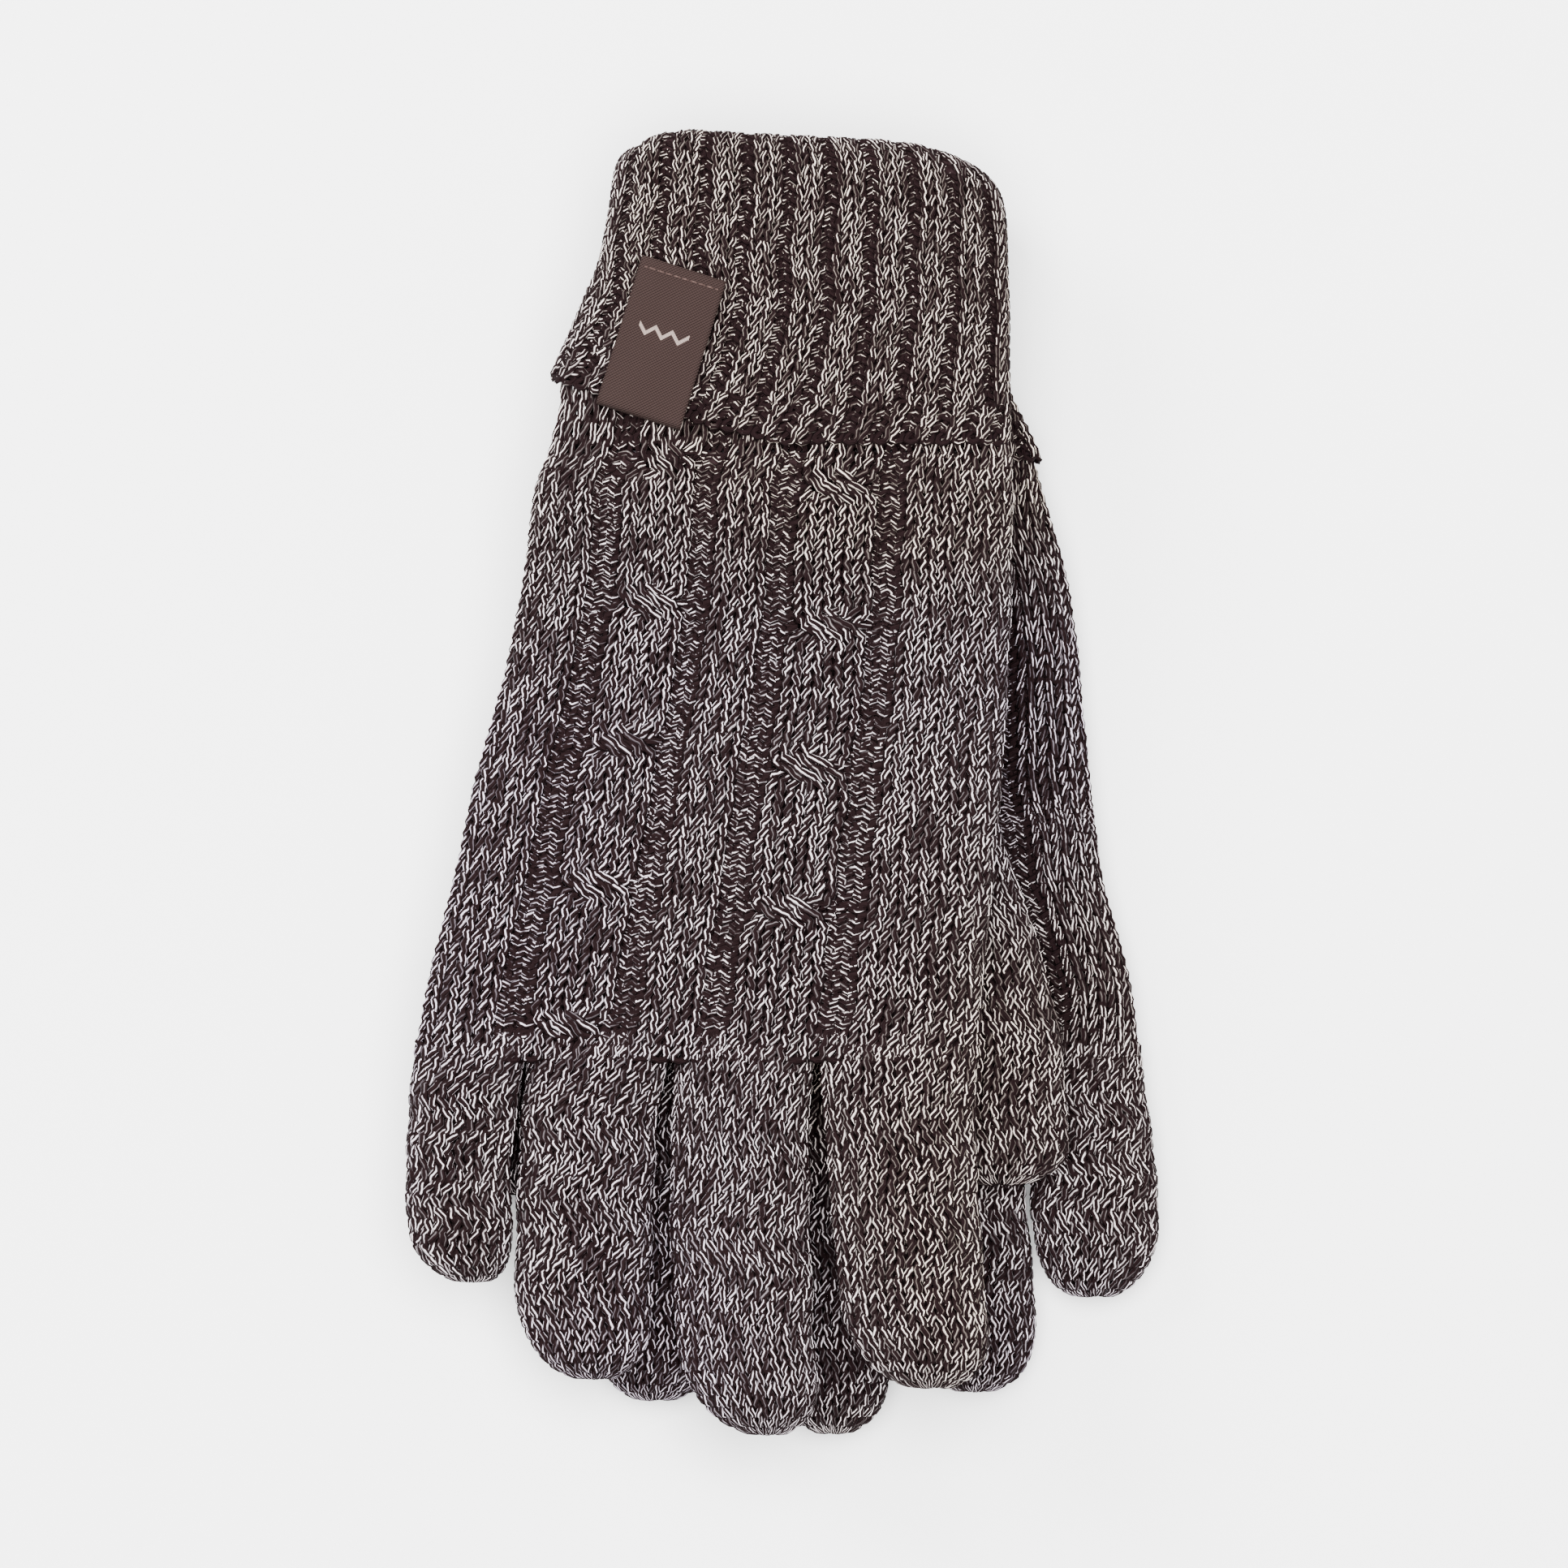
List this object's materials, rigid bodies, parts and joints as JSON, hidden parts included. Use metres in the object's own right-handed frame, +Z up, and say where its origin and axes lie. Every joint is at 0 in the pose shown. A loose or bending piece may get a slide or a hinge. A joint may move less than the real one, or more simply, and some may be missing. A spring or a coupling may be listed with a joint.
{
  "type": "knitted glove pair",
  "caption": "Pair of lined, full-fingered cable-knit gloves with turned-back ribbed cuffs, lying one glove on top of the other.",
  "frame": {"origin": "on the table under the middle of the pair, where the lower glove rests", "axes": "+Y from the fingertips to the cuffs, +X to the right when the pair is seen from above with the cuffs up, +Z up from the table"},
  "size_m": [0.1391, 0.2428, 0.0379],
  "materials": {
    "marled_knit": "matte two-tone marled yarn, dark charcoal brown with pale strands",
    "brushed_lining": "matte brushed fleece",
    "label_tape": "woven tape with a slight sheen",
    "sewing_thread": "matte thread"
  },
  "bodies": {
    "left_palm": {"left_hand": "marled_knit", "left_hand_lining": "brushed_lining", "left_cuff": "marled_knit"},
    "left_index": {"left_index_finger": "marled_knit", "left_index_finger_lining": "brushed_lining"},
    "left_middle": {"left_middle_finger": "marled_knit", "left_middle_finger_lining": "brushed_lining"},
    "left_ring": {"left_ring_finger": "marled_knit", "left_ring_finger_lining": "brushed_lining"},
    "left_little": {"left_little_finger": "marled_knit", "left_little_finger_lining": "brushed_lining"},
    "left_thumb_tube": {"left_thumb": "marled_knit", "left_thumb_lining": "brushed_lining"},
    "right_palm": {"right_hand": "marled_knit", "right_hand_lining": "brushed_lining", "right_cuff": "marled_knit", "woven_label": "label_tape", "label_thread": "sewing_thread"},
    "right_index": {"right_index_finger": "marled_knit", "right_index_finger_lining": "brushed_lining"},
    "right_middle": {"right_middle_finger": "marled_knit", "right_middle_finger_lining": "brushed_lining"},
    "right_ring": {"right_ring_finger": "marled_knit", "right_ring_finger_lining": "brushed_lining"},
    "right_little": {"right_little_finger": "marled_knit", "right_little_finger_lining": "brushed_lining"},
    "right_thumb_tube": {"right_thumb": "marled_knit", "right_thumb_lining": "brushed_lining"}
  },
  "joints": [
    {"name": "right_glove_lift", "type": "slide", "parent": "left_palm", "child": "right_palm", "axis": [0, 0, 1], "range_m": [0, 0.06]},
    {"name": "right_index_bend", "type": "hinge", "parent": "right_palm", "child": "right_index", "pos_m": [0.0208, -0.0495, 0.0375], "axis": [-1, 0, 0], "range_deg": [0, 60]},
    {"name": "right_middle_bend", "type": "hinge", "parent": "right_palm", "child": "right_middle", "pos_m": [-0.0076, -0.0495, 0.03549], "axis": [-1, 0, 0], "range_deg": [0, 60]},
    {"name": "right_ring_bend", "type": "hinge", "parent": "right_palm", "child": "right_ring", "pos_m": [-0.0343, -0.0495, 0.0284], "axis": [-1, 0, 0], "range_deg": [0, 60]},
    {"name": "right_little_bend", "type": "hinge", "parent": "right_palm", "child": "right_little", "pos_m": [-0.0584, -0.0495, 0.0273], "axis": [-1, 0, 0], "range_deg": [0, 60]},
    {"name": "right_thumb_swing", "type": "hinge", "parent": "right_palm", "child": "right_thumb_tube", "pos_m": [0.027, -0.004, 0.0179], "axis": [0, 0, 1], "range_deg": [0, 30]},
    {"name": "left_index_spread", "type": "hinge", "parent": "left_palm", "child": "left_index", "pos_m": [-0.0347, -0.0495, 0.0064], "axis": [0, 0, -1], "range_deg": [0, 7]},
    {"name": "left_middle_spread", "type": "hinge", "parent": "left_palm", "child": "left_middle", "pos_m": [-0.006, -0.0495, 0.0064], "axis": [0, 0, -1], "range_deg": [0, 3]},
    {"name": "left_ring_spread", "type": "hinge", "parent": "left_palm", "child": "left_ring", "pos_m": [0.0438, -0.0495, 0.0064], "axis": [0, 0, 1], "range_deg": [0, 3]},
    {"name": "left_little_spread", "type": "hinge", "parent": "left_palm", "child": "left_little", "pos_m": [0.0661, -0.0495, 0.0064], "axis": [0, 0, 1], "range_deg": [0, 12]},
    {"name": "left_thumb_swing", "type": "hinge", "parent": "left_palm", "child": "left_thumb_tube", "pos_m": [-0.0532, -0.0072, 0.0064], "axis": [0, 0, -1], "range_deg": [0, 25]}
  ],
  "couplings": [
    {"joint": "left_middle_spread", "follows": "left_index_spread", "ratio": 0.4},
    {"joint": "left_ring_spread", "follows": "left_index_spread", "ratio": 0.4},
    {"joint": "left_little_spread", "follows": "left_index_spread", "ratio": 1.6}
  ]
}
